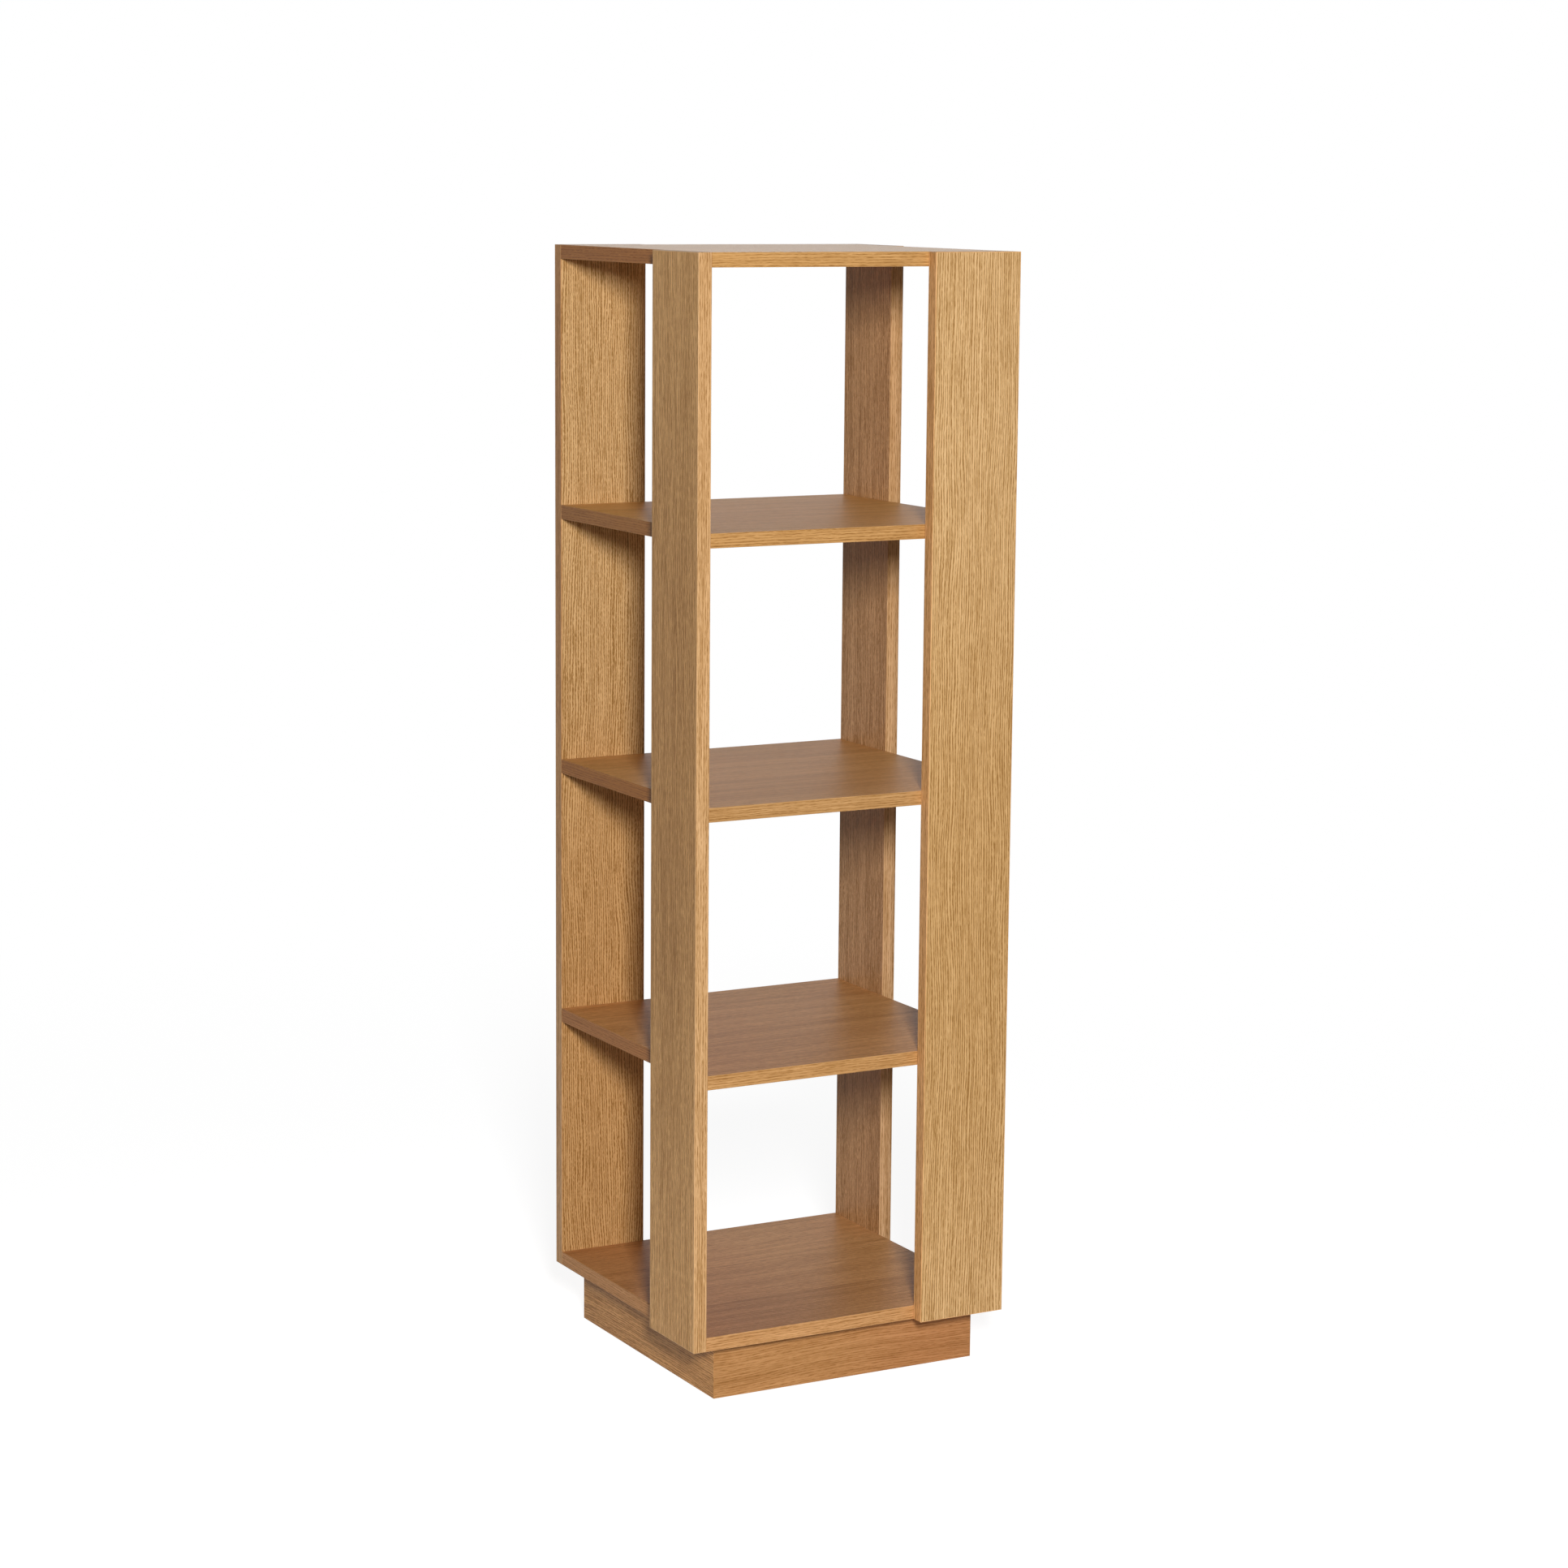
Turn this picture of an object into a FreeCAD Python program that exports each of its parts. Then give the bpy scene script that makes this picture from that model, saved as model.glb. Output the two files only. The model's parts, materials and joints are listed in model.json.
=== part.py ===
import FreeCAD, Part
import os

from FreeCAD import Vector

# Square bookcase tower, open on all four sides, on a recessed plinth.
# Millimetres, +Z up, origin on the floor at the middle of the footprint.
# The front is the -Y side. One upright stands against each side of the shelves,
# and each reaches to the next corner going round, so the plan is a pinwheel.

# Overall sizes
overall_height = 1500.0
overall_width = 480.0

# Uprights
upright_thickness = 19.0
upright_width = 128.0

# Shelves, named from the bottom to the top and evenly spaced
shelf_thickness = 19.0
shelf_names = ["bottom", "lower", "middle", "upper", "top"]

# Edging on the narrow sides of the veneered boards
edging_thickness = 1.0
edging_joint = 0.05
arris_radius = 0.6

# Plinth: four mitred boards, set back from the shelf edges
plinth_height = 74.0
plinth_setback = 23.0
plinth_thickness = 19.0
mitre_ease = 0.6

# Corner blocks inside the plinth, and their screws
block_side = 28.0
block_ease = 2.0
block_screw_bite = 12.0
block_screw_diameter = 4.0
block_screw_head = 8.0

# Glides under the corner blocks
glide_rise = 2.0
glide_diameter = 22.0
glide_rounding = 0.8
glide_stem_diameter = 6.0
glide_stem_length = 14.0

# Angle brackets between the plinth boards and the bottom shelf, and their screws
bracket_leg = 30.0
bracket_width = 20.0
bracket_thickness = 2.0
bracket_screw_bite = 12.0
bracket_screw_diameter = 3.5
bracket_screw_head = 7.0

# Fittings between shelves and uprights: one cam bolt between two dowels
cam_diameter = 15.0
cam_setback = 34.0
cam_roof = 5.5
cam_flush_gap = 0.3
cam_slot_width = 2.0
cam_slot_depth = 3.0
bolt_shank_diameter = 7.0
bolt_neck_diameter = 4.0
bolt_head_diameter = 6.6
bolt_head_length = 3.0
bolt_neck_length = 4.0
bolt_thread_diameter = 5.0
dowel_diameter = 8.0
dowel_reach = 20.0
dowel_offset = 40.0
dowel_chamfer = 1.0
upright_skin = 8.0

# Clearances round the fittings and at the ends of their holes
fit_clearance = 0.1
hole_end_gap = 0.5
bolt_bore_clearance = 0.5

# Two places nearer than this are the same one
same_place = 0.01

# Worked out from the sizes above
tower_bottom = glide_rise + plinth_height
shelf_side = overall_width - 2 * upright_thickness
shelf_edge = shelf_side / 2
shelf_pitch = (overall_height - tower_bottom - shelf_thickness) / (len(shelf_names) - 1)
plinth_face = shelf_edge - plinth_setback
plinth_inside = plinth_face - plinth_thickness
arris = min(arris_radius, 0.9 * edging_thickness)
joint_x = shelf_edge - upright_width / 2
fitting_bite = upright_thickness - upright_skin
cam_height = shelf_thickness - cam_roof

# Quarter turns about Z, counted from the front
side_names = ["front", "right", "rear", "left"]
corner_names = ["front_right", "rear_right", "rear_left", "front_left"]

inward = Vector(0, 1, 0)
outward = Vector(0, -1, 0)
up = Vector(0, 0, 1)


def slab(x, y, z):
    """A box from three (low, high) pairs."""
    size = [high - low for low, high in (x, y, z)]
    return Part.makeBox(size[0], size[1], size[2], Vector(x[0], y[0], z[0]))


def rod(start, direction, diameter, length):
    return Part.makeCylinder(diameter / 2, length, start, direction)


def turned(shape, quarters):
    """The shape, made at the front, turned about Z to another side."""
    copy = shape.copy()
    copy.rotate(Vector(0, 0, 0), up, 90 * quarters)
    return copy


def save(name, solids):
    """One STEP file per piece, or per group of like pieces."""
    shape = solids[0] if len(solids) == 1 else Part.makeCompound(solids)
    shape.exportStep("parts/" + name + ".step")


def cut_all(shape, tools):
    return shape.cut(Part.makeCompound(tools))


def only_solid(shape):
    """The one solid that a cut or a common leaves."""
    assert len(shape.Solids) == 1, len(shape.Solids)
    return shape.Solids[0]


def shelf_underside(level):
    return tower_bottom + level * shelf_pitch


def bolt_height(level):
    return shelf_underside(level) + shelf_thickness / 2


# Shelf fittings, made for the joint between the front edge of a shelf and the
# front upright. y = -shelf_edge is the plane where the two meet.

def dowel_places():
    return [joint_x - dowel_offset, joint_x + dowel_offset]


def dowel(x, z):
    start = Vector(x, -shelf_edge - fitting_bite + hole_end_gap, z)
    length = fitting_bite - hole_end_gap + dowel_reach - hole_end_gap
    body = rod(start, inward, dowel_diameter, length)
    rims = [edge for edge in body.Edges if isinstance(edge.Curve, Part.Circle)]
    return body.makeChamfer(min(dowel_chamfer, dowel_diameter / 4), rims)


def cam_bolt(z):
    """Threaded end in the upright, shank, neck, and a head held by the cam lock."""
    joint = Vector(joint_x, -shelf_edge, z)
    head_start = cam_setback - bolt_head_length / 2
    neck_start = head_start - bolt_neck_length
    thread = rod(joint, outward, bolt_thread_diameter, fitting_bite - hole_end_gap)
    shank = rod(joint, inward, bolt_shank_diameter, neck_start)
    neck = rod(joint + inward * neck_start, inward, bolt_neck_diameter, bolt_neck_length)
    head = rod(joint + inward * head_start, inward, bolt_head_diameter, bolt_head_length)
    return thread.fuse([shank, neck, head]).removeSplitter()


def cam_lock(level):
    """A drum in the shelf's underside, with a side bore for the bolt and a driver slot."""
    bottom = shelf_underside(level) + cam_flush_gap
    centre = Vector(joint_x, -shelf_edge + cam_setback, bottom)
    drum = rod(centre, up, cam_diameter, cam_height - cam_flush_gap)
    bore_start = Vector(joint_x, -shelf_edge + cam_setback - cam_diameter, bolt_height(level))
    bore_length = cam_diameter + bolt_head_length
    bore = rod(bore_start, inward, bolt_shank_diameter + 2 * bolt_bore_clearance, bore_length)
    half_slot = cam_slot_width / 2
    half_cam = cam_diameter / 2
    slot = slab(
        (joint_x - half_cam, joint_x + half_cam),
        (centre.y - half_slot, centre.y + half_slot),
        (bottom, bottom + cam_slot_depth),
    )
    return only_solid(drum.cut([bore, slot]))


def shelf_bores(level):
    """The holes that one joint needs in the shelf and in its edging."""
    z = bolt_height(level)
    tools = []
    for x in dowel_places():
        mouth = Vector(x, -shelf_edge, z)
        tools.append(rod(mouth, inward, dowel_diameter + 2 * fit_clearance, dowel_reach))
    bolt_mouth = Vector(joint_x, -shelf_edge, z)
    bolt_bore = bolt_shank_diameter + 2 * bolt_bore_clearance
    tools.append(rod(bolt_mouth, inward, bolt_bore, cam_setback))
    cam_mouth = Vector(joint_x, -shelf_edge + cam_setback, shelf_underside(level))
    cam_bore = cam_diameter + 2 * fit_clearance
    tools.append(rod(cam_mouth, up, cam_bore, cam_height + fit_clearance))
    return tools


def upright_bores(level):
    """The holes that one joint needs in the inner face of the upright."""
    z = bolt_height(level)
    tools = []
    for x in dowel_places():
        mouth = Vector(x, -shelf_edge, z)
        tools.append(rod(mouth, outward, dowel_diameter + 2 * fit_clearance, fitting_bite))
    mouth = Vector(joint_x, -shelf_edge, z)
    tools.append(rod(mouth, outward, bolt_thread_diameter + 2 * fit_clearance, fitting_bite))
    return tools


# Wood screws: a countersunk head, a plain shank and a pointed end.

def screw(head_top, direction, diameter, head_diameter, length):
    head_height = (head_diameter - diameter) / 2
    point_length = diameter
    shank_length = length - head_height - point_length
    head = Part.makeCone(head_diameter / 2, diameter / 2, head_height, head_top, direction)
    shank = rod(head_top + direction * head_height, direction, diameter, shank_length)
    point_start = head_top + direction * (head_height + shank_length)
    point = Part.makeCone(diameter / 2, 0, point_length, point_start, direction)
    return head.fuse([shank, point]).removeSplitter()


def screw_hole(head_top, direction, diameter, head_diameter, length):
    """Room for a screw: the same form, larger by the clearance all round."""
    grown = diameter + 2 * fit_clearance
    grown_head = head_diameter + 2 * fit_clearance
    return screw(head_top, direction, grown, grown_head, length + hole_end_gap)


def block_screws():
    """The two screws in the front-right corner block, as (head place, direction)."""
    low_z = glide_rise + plinth_height / 3
    high_z = glide_rise + 2 * plinth_height / 3
    middle = plinth_inside - block_side / 2
    inner = plinth_inside - block_side
    return [
        (Vector(middle, -inner, low_z), outward),
        (Vector(inner, -middle, high_z), Vector(1, 0, 0)),
    ]


def bracket_screws():
    """The two screws in the front bracket, as (head place, direction)."""
    leg_middle = (bracket_leg + bracket_thickness) / 2
    side_head = Vector(0, -plinth_inside + bracket_thickness, tower_bottom - leg_middle)
    top_head = Vector(0, -plinth_inside + leg_middle, tower_bottom - bracket_thickness)
    return (side_head, outward), (top_head, up)


block_screw_size = (block_screw_diameter, block_screw_head, block_side + block_screw_bite)
bracket_screw_size = (bracket_screw_diameter, bracket_screw_head, bracket_thickness + bracket_screw_bite)


def holes_for(places, size):
    return [screw_hole(head_top, direction, *size) for head_top, direction in places]


def around(tools):
    """The tools repeated on all four sides."""
    return [turned(tool, quarter) for quarter in range(4) for tool in tools]


# Uprights

upright_x = (shelf_edge - upright_width, shelf_edge)
upright_y = (-shelf_edge - upright_thickness, -shelf_edge)
upright_z = (tower_bottom, overall_height)


def inset(span, by=edging_thickness):
    return (span[0] + by, span[1] - by)


def eased_box(x, y, z):
    whole = slab(x, y, z)
    return whole.makeFillet(arris, whole.Edges)


def make_upright():
    board = slab(inset(upright_x), upright_y, inset(upright_z))
    tools = [tool for level in range(len(shelf_names)) for tool in upright_bores(level)]
    return only_solid(cut_all(board, tools))


def make_upright_edging():
    """Long strips over the full height, end strips between them."""
    whole = eased_box(upright_x, upright_y, upright_z)
    inner_x = inset(upright_x)
    inner_z = inset(upright_z)
    end_x = inset(inner_x, edging_joint)
    strips = [
        slab((upright_x[0], inner_x[0]), upright_y, upright_z),
        slab((inner_x[1], upright_x[1]), upright_y, upright_z),
        slab(end_x, upright_y, (upright_z[0], inner_z[0])),
        slab(end_x, upright_y, (inner_z[1], upright_z[1])),
    ]
    return [only_solid(whole.common(strip)) for strip in strips]


# Shelves

shelf_span = (-shelf_edge, shelf_edge)


def shelf_heights(level):
    return (shelf_underside(level), shelf_underside(level) + shelf_thickness)


def make_shelf(level):
    board = slab(inset(shelf_span), inset(shelf_span), shelf_heights(level))
    tools = around(shelf_bores(level))
    if level == 0:
        side_screw, top_screw = bracket_screws()
        tools += around(holes_for([top_screw], bracket_screw_size))
    return only_solid(cut_all(board, tools))


def make_shelf_edging(level):
    """Front and rear strips over the full width, side strips between them."""
    heights = shelf_heights(level)
    whole = eased_box(shelf_span, shelf_span, heights)
    inner = inset(shelf_span)
    side_y = inset(inner, edging_joint)
    strips = [
        slab(shelf_span, (shelf_span[0], inner[0]), heights),
        slab(shelf_span, (inner[1], shelf_span[1]), heights),
        slab((shelf_span[0], inner[0]), side_y, heights),
        slab((inner[1], shelf_span[1]), side_y, heights),
    ]
    tools = around(shelf_bores(level))
    return [only_solid(cut_all(whole.common(strip), tools)) for strip in strips]


# Plinth

def make_plinth_board():
    """The front board, mitred at both ends, with the corner arris just eased."""
    ease = min(mitre_ease, plinth_thickness / 4)
    mitre_tip = plinth_face - ease / 2
    outline = [
        Vector(-plinth_face + ease, -plinth_face, glide_rise),
        Vector(plinth_face - ease, -plinth_face, glide_rise),
        Vector(mitre_tip, -mitre_tip, glide_rise),
        Vector(plinth_inside, -plinth_inside, glide_rise),
        Vector(-plinth_inside, -plinth_inside, glide_rise),
        Vector(-mitre_tip, -mitre_tip, glide_rise),
    ]
    board = Part.Face(Part.makePolygon(outline + outline[:1])).extrude(up * plinth_height)
    side_screw, top_screw = bracket_screws()
    tools = around(holes_for(block_screws(), block_screw_size))
    tools += holes_for([side_screw], bracket_screw_size)
    return only_solid(cut_all(board, tools))


def make_corner_block():
    """The front-right block, with its inner arris planed off and a bore for the glide's stem."""
    span = (plinth_inside - block_side, plinth_inside)
    depth = (-plinth_inside, -plinth_inside + block_side)
    block = slab(span, depth, (glide_rise, tower_bottom))
    corner = Vector(span[0], depth[1], glide_rise + plinth_height / 2)
    inner_arris = [edge for edge in block.Edges if edge.CenterOfMass.distanceToPoint(corner) < same_place]
    block = block.makeChamfer(block_ease, inner_arris)
    tools = holes_for(block_screws(), block_screw_size)
    stem_hole = glide_stem_diameter + 2 * fit_clearance
    tools.append(rod(glide_centre(glide_rise), up, stem_hole, glide_stem_length + hole_end_gap))
    return only_solid(cut_all(block, tools))


def glide_centre(z):
    middle = plinth_inside - block_side / 2
    return Vector(middle, -middle, z)


def make_glide():
    """A round pad with a driven stem."""
    pad = rod(glide_centre(0), up, glide_diameter, glide_rise)
    rim = [edge for edge in pad.Edges if edge.BoundBox.ZMax < glide_rise / 2]
    pad = pad.makeFillet(min(glide_rounding, glide_rise / 2), rim)
    stem = rod(glide_centre(glide_rise), up, glide_stem_diameter, glide_stem_length)
    return only_solid(pad.fuse(stem).removeSplitter())


def make_bracket():
    """A steel angle: one leg on the front plinth board, one under the bottom shelf."""
    across = (-bracket_width / 2, bracket_width / 2)
    upright_leg = slab(
        across,
        (-plinth_inside, -plinth_inside + bracket_thickness),
        (tower_bottom - bracket_leg, tower_bottom),
    )
    flat_leg = slab(
        across,
        (-plinth_inside, -plinth_inside + bracket_leg),
        (tower_bottom - bracket_thickness, tower_bottom),
    )
    angle = upright_leg.fuse(flat_leg).removeSplitter()
    tools = holes_for(bracket_screws(), bracket_screw_size)
    return only_solid(cut_all(angle, tools))


# All the pieces

upright = make_upright()
upright_edging = make_upright_edging()
for quarter, corner in enumerate(corner_names):
    save(corner + "_upright", [turned(upright, quarter)])
    save(corner + "_upright_edging", [turned(strip, quarter) for strip in upright_edging])

cams = []
bolts = []
dowels = []
for level, shelf_name in enumerate(shelf_names):
    save(shelf_name + "_shelf", [make_shelf(level)])
    save(shelf_name + "_shelf_edging", make_shelf_edging(level))
    cams += around([cam_lock(level)])
    bolts += around([cam_bolt(bolt_height(level))])
    dowels += around([dowel(x, bolt_height(level)) for x in dowel_places()])
save("cam_locks", cams)
save("cam_bolts", bolts)
save("dowels", dowels)

plinth_board = make_plinth_board()
bracket = make_bracket()
for quarter, side in enumerate(side_names):
    save(side + "_plinth_board", [turned(plinth_board, quarter)])
    save(side + "_plinth_bracket", [turned(bracket, quarter)])

block = make_corner_block()
glide = make_glide()
for quarter, corner in enumerate(corner_names):
    save(corner + "_corner_block", [turned(block, quarter)])
    save(corner + "_glide", [turned(glide, quarter)])

save("block_screws", around([screw(*place, *block_screw_size) for place in block_screws()]))
save("bracket_screws", around([screw(*place, *bracket_screw_size) for place in bracket_screws()]))

print("shelf side", shelf_side, "clear height", shelf_pitch - shelf_thickness)
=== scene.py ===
# %% [markdown]
# # A square bookcase tower in oak veneer
#
# The bookcase is a tall tower that stands open on all four sides. Five square shelves are held by
# four uprights, one by each corner, and each upright lies flat against one side of the shelves, so
# that the plan is a pinwheel. A mitred plinth, set back all round, carries the tower.
#
# Every board comes from the CAD model at its true size and place. Blender adds what the CAD
# doesn't hold: the oak, the lacquer, the metal and plastic of the fixings, the light and the camera.

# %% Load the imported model
import json
import math
import bpy
from mathutils import Matrix, Vector

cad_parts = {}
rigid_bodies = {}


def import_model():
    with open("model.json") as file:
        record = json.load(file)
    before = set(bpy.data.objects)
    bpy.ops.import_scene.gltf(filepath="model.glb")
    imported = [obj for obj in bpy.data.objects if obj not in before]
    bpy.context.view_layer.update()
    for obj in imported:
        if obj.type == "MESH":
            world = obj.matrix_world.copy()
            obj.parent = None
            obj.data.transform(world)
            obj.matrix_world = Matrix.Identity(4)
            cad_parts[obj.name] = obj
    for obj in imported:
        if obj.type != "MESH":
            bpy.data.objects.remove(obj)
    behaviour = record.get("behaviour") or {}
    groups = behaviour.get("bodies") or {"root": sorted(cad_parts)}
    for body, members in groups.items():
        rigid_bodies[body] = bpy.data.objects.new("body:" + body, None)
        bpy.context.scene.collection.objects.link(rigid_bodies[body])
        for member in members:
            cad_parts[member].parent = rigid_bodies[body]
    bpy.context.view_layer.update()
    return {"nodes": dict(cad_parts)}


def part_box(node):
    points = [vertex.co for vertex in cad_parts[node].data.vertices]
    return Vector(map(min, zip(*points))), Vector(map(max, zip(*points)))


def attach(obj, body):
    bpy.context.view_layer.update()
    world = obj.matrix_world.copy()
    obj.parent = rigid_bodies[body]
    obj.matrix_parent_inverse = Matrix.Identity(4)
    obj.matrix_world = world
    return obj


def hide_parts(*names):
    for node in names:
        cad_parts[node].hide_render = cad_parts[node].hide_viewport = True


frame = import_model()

nodes = frame["nodes"]
print("nodes:", len(nodes))

# %% [markdown]
# ## The camera
#
# The photograph was taken from a little above the top of the tower, turned 29 degrees towards its
# left side, with a long lens from about five metres. Its place comes from the straight edges of
# the boards: their vanishing points give the direction, and their lengths give the distance. The
# focal length is in pixels of the photograph, so the lens in millimetres follows from its width.

# %% Camera
photo_width = 1932
focal_pixels = 4586.67
sensor = 36.0
camera_place = Vector((-2.38382, -4.37318, 1.60179))
view_reach = 60
turn = math.radians(28.678)
tilt = math.radians(-9.3665)
lean = math.radians(0.4894)

forward = Vector((math.sin(turn) * math.cos(tilt), math.cos(turn) * math.cos(tilt), math.sin(tilt)))
level = forward.cross(Vector((0, 0, 1))).normalized()
rise = level.cross(forward)
right = level * math.cos(lean) + rise * math.sin(lean)
up = rise * math.cos(lean) - level * math.sin(lean)

lens = bpy.data.cameras.new("photo_camera")
lens.sensor_width = sensor
lens.lens = sensor * focal_pixels / photo_width
lens.clip_end = view_reach
camera = bpy.data.objects.new("photo_camera", lens)
facing = Matrix((right, up, -forward)).transposed().to_4x4()
camera.matrix_world = Matrix.Translation(camera_place) @ facing
bpy.context.collection.objects.link(camera)
bpy.context.scene.camera = camera
bpy.context.scene.view_settings.view_transform = "Standard"
print("lens:", round(lens.lens, 2), "mm")

# %% [markdown]
# ## Sums on sockets
#
# A material is a web of nodes, and most of them are plain sums. One small class wraps a socket, so
# that a sum is written as in Python and its Math node is added by itself. Any other node comes
# from its `node` method: the type, the settings, then the values or wires of the sockets.

# %% Wires
class Wire:
    """One socket of a material, or the start of one. Sums on wires add Math nodes."""

    def __init__(self, tree, socket=None):
        self.tree = tree
        self.socket = socket

    def node(self, kind, settings, values, out=0):
        """Adds a node, sets it up, fills or links its sockets and returns one output."""
        made = self.tree.nodes.new(kind)
        for name, setting in settings.items():
            if name == "stops":
                set_stops(made.color_ramp, setting)
            else:
                setattr(made, name, setting)
        for key, value in values.items():
            if isinstance(value, Wire):
                self.tree.links.new(value.socket, made.inputs[key])
            else:
                made.inputs[key].default_value = value
        return Wire(self.tree, made.outputs[out] if made.outputs else None)

    def sum(self, operation, first, second=0.0):
        return self.node("ShaderNodeMath", {"operation": operation}, {0: first, 1: second})

    def __add__(self, other):
        return self.sum("ADD", self, other)

    def __radd__(self, other):
        return self.sum("ADD", other, self)

    def __sub__(self, other):
        return self.sum("SUBTRACT", self, other)

    def __rsub__(self, other):
        return self.sum("SUBTRACT", other, self)

    def __mul__(self, other):
        return self.sum("MULTIPLY", self, other)

    def __rmul__(self, other):
        return self.sum("MULTIPLY", other, self)

    def __truediv__(self, other):
        return self.sum("DIVIDE", self, other)

    def __gt__(self, other):
        return self.sum("GREATER_THAN", self, other)

    def __abs__(self):
        return self.sum("ABSOLUTE", self)


def set_stops(ramp, stops):
    """Gives a colour ramp its stops, each a place from 0 to 1 and a colour."""
    while len(ramp.elements) < len(stops):
        ramp.elements.new(1.0)
    for element, (place, colour) in zip(ramp.elements, stops):
        element.position = place
        element.color = colour


print("wires ready")

# %% [markdown]
# ## The studio light
#
# The shadows on the inner faces tell where the main lamp was: a soft box taller than wide, above
# the camera and a little to its right. There is little light from elsewhere, so the room gives
# only a faint one. The background is white because camera rays see it so. Gloss reflects that
# same white, which gives the shelves their pale sheen.
#
# The two sides that the photograph doesn't show would be almost black in that light. A second,
# weaker soft box behind the tower lights them. It stands low, so that hardly any of its light
# falls on the tops of the shelves, and it gives no gloss, so the front keeps its look.

# %% Studio light
white = (1, 1, 1, 1)
room_light = 0.05
front_power = 298.0
front_place = Vector((-2.14, -4.7, 2.36))
front_size = (0.52, 0.88)
back_power = 150.0
back_place = Vector((3.5, 4.1, 0.3))
back_size = (1.8, 0.3)
lamp_target = Vector((0, 0, 0.75))


def seen_rays(start):
    """1 for a ray from the camera, or one that a gloss or a clear surface sends on."""
    rays = [
        start.node("ShaderNodeLightPath", {}, {}, name)
        for name in ("Is Camera Ray", "Is Glossy Ray", "Is Transmission Ray")
    ]
    return start.sum("MAXIMUM", rays[0], start.sum("MAXIMUM", rays[1], rays[2]))


world = bpy.data.worlds.new("white_room")
world.use_nodes = True
world.node_tree.nodes.clear()
bpy.context.scene.world = world
sky = Wire(world.node_tree)
room = sky.node("ShaderNodeBackground", {}, {"Color": white, "Strength": room_light})
backdrop = sky.node("ShaderNodeBackground", {}, {"Color": white, "Strength": 1.0})
both = sky.node("ShaderNodeMixShader", {}, {0: seen_rays(sky), 1: room, 2: backdrop})
sky.node("ShaderNodeOutputWorld", {}, {"Surface": both})


def soft_box(name, place, size, power):
    """A flat lamp, its size a width and a height, aimed at the middle of the tower."""
    area = bpy.data.lights.new(name, "AREA")
    area.shape = "RECTANGLE"
    area.size, area.size_y = size
    area.energy = power
    lamp = bpy.data.objects.new(name, area)
    lamp.location = place
    lamp.rotation_euler = (lamp_target - place).to_track_quat("-Z", "Y").to_euler()
    bpy.context.collection.objects.link(lamp)
    return lamp


soft_box("front_box", front_place, front_size, front_power)
back_box = soft_box("back_box", back_place, back_size, back_power)
back_box.visible_glossy = False
back_box.visible_camera = False
print("room light", room_light, "lamps", front_power, "and", back_power, "W")

# %% [markdown]
# ## The floor
#
# The tower stands on a pale seamless floor that runs up into the backdrop. A wide plane does for
# it. To the light it is matt: pale under the tower, so that some light comes back up on the
# boards, and greyer further out, because the shadows under the shelves are deep. To the camera it
# glows almost white near the tower, where it still takes a soft shadow, and passes into pure
# white beyond, so that no edge shows against the background.

# %% Floor
floor_size = 40
under_tower = (0.9, 0.9, 0.9, 1)
further_out = (0.3, 0.3, 0.3, 1)
greying = (0.5, 1.5)
whitening = (0.6, 3.0)
shadow_glow = 0.9


def soft_step(value, low, high):
    """0 below low, 1 above high and a smooth rise between them."""
    settings = {"interpolation_type": "SMOOTHSTEP"}
    return value.node("ShaderNodeMapRange", settings, {0: value, 1: low, 2: high})


def mixed(share, first, second, blend="MIX"):
    """The first colour, passing into the second as the share goes from 0 to 1."""
    settings = {"data_type": "RGBA", "blend_type": blend}
    return share.node("ShaderNodeMix", settings, {0: share, 6: first, 7: second}, 2)


bpy.ops.object.select_all(action="DESELECT")
bpy.ops.mesh.primitive_plane_add(size=floor_size, location=(0, 0, 0))
floor = bpy.context.object
floor.name = "pale_floor"

floor_paint = bpy.data.materials.new("pale_floor")
floor_paint.use_nodes = True
floor_paint.node_tree.nodes.clear()
start = Wire(floor_paint.node_tree)
spot = start.node("ShaderNodeTexCoord", {}, {}, "Object")
reach = start.node("ShaderNodeVectorMath", {"operation": "LENGTH"}, {0: spot}, 1)
sheet = mixed(soft_step(reach, *greying), under_tower, further_out)
matt = start.node("ShaderNodeBsdfDiffuse", {}, {"Color": sheet})
far = soft_step(reach, *whitening)
grey = start.node("ShaderNodeBsdfDiffuse", {}, {"Color": further_out})
glow = start.node("ShaderNodeEmission", {}, {"Color": white, "Strength": shadow_glow})
near = start.node("ShaderNodeAddShader", {}, {0: grey, 1: glow})
paper = start.node("ShaderNodeEmission", {}, {"Color": white, "Strength": 1.0})
shown = start.node("ShaderNodeMixShader", {}, {0: far, 1: near, 2: paper})
seen = start.node("ShaderNodeMixShader", {}, {0: seen_rays(start), 1: matt, 2: shown})
start.node("ShaderNodeOutputMaterial", {}, {"Surface": seen})
floor.data.materials.append(floor_paint)
print(floor.name, floor_size, "m square")

# %% [markdown]
# ## Places, streaks and colours
#
# Wood is a pattern that is long one way and narrow the other. A noise that is drawn out along the
# grain gives that, and all the sizes are in millimetres of the real board, so they keep their true
# scale. Oak that is paler is also greyer, and darker oak is redder. So a tone changes the green
# and the blue more than the red.

# %% Helpers for every finish
metre = 1000


def new_finish(name):
    """A fresh material and the start of its nodes."""
    material = bpy.data.materials.new(name)
    material.use_nodes = True
    material.node_tree.nodes.clear()
    return material, Wire(material.node_tree)


def place_in_mm(start):
    """The place on the object along x, y and z, in millimetres."""
    place = start.node("ShaderNodeTexCoord", {}, {}, "Object")
    return [start.node("ShaderNodeSeparateXYZ", {}, {0: place}, axis) * metre for axis in "XYZ"]


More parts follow.
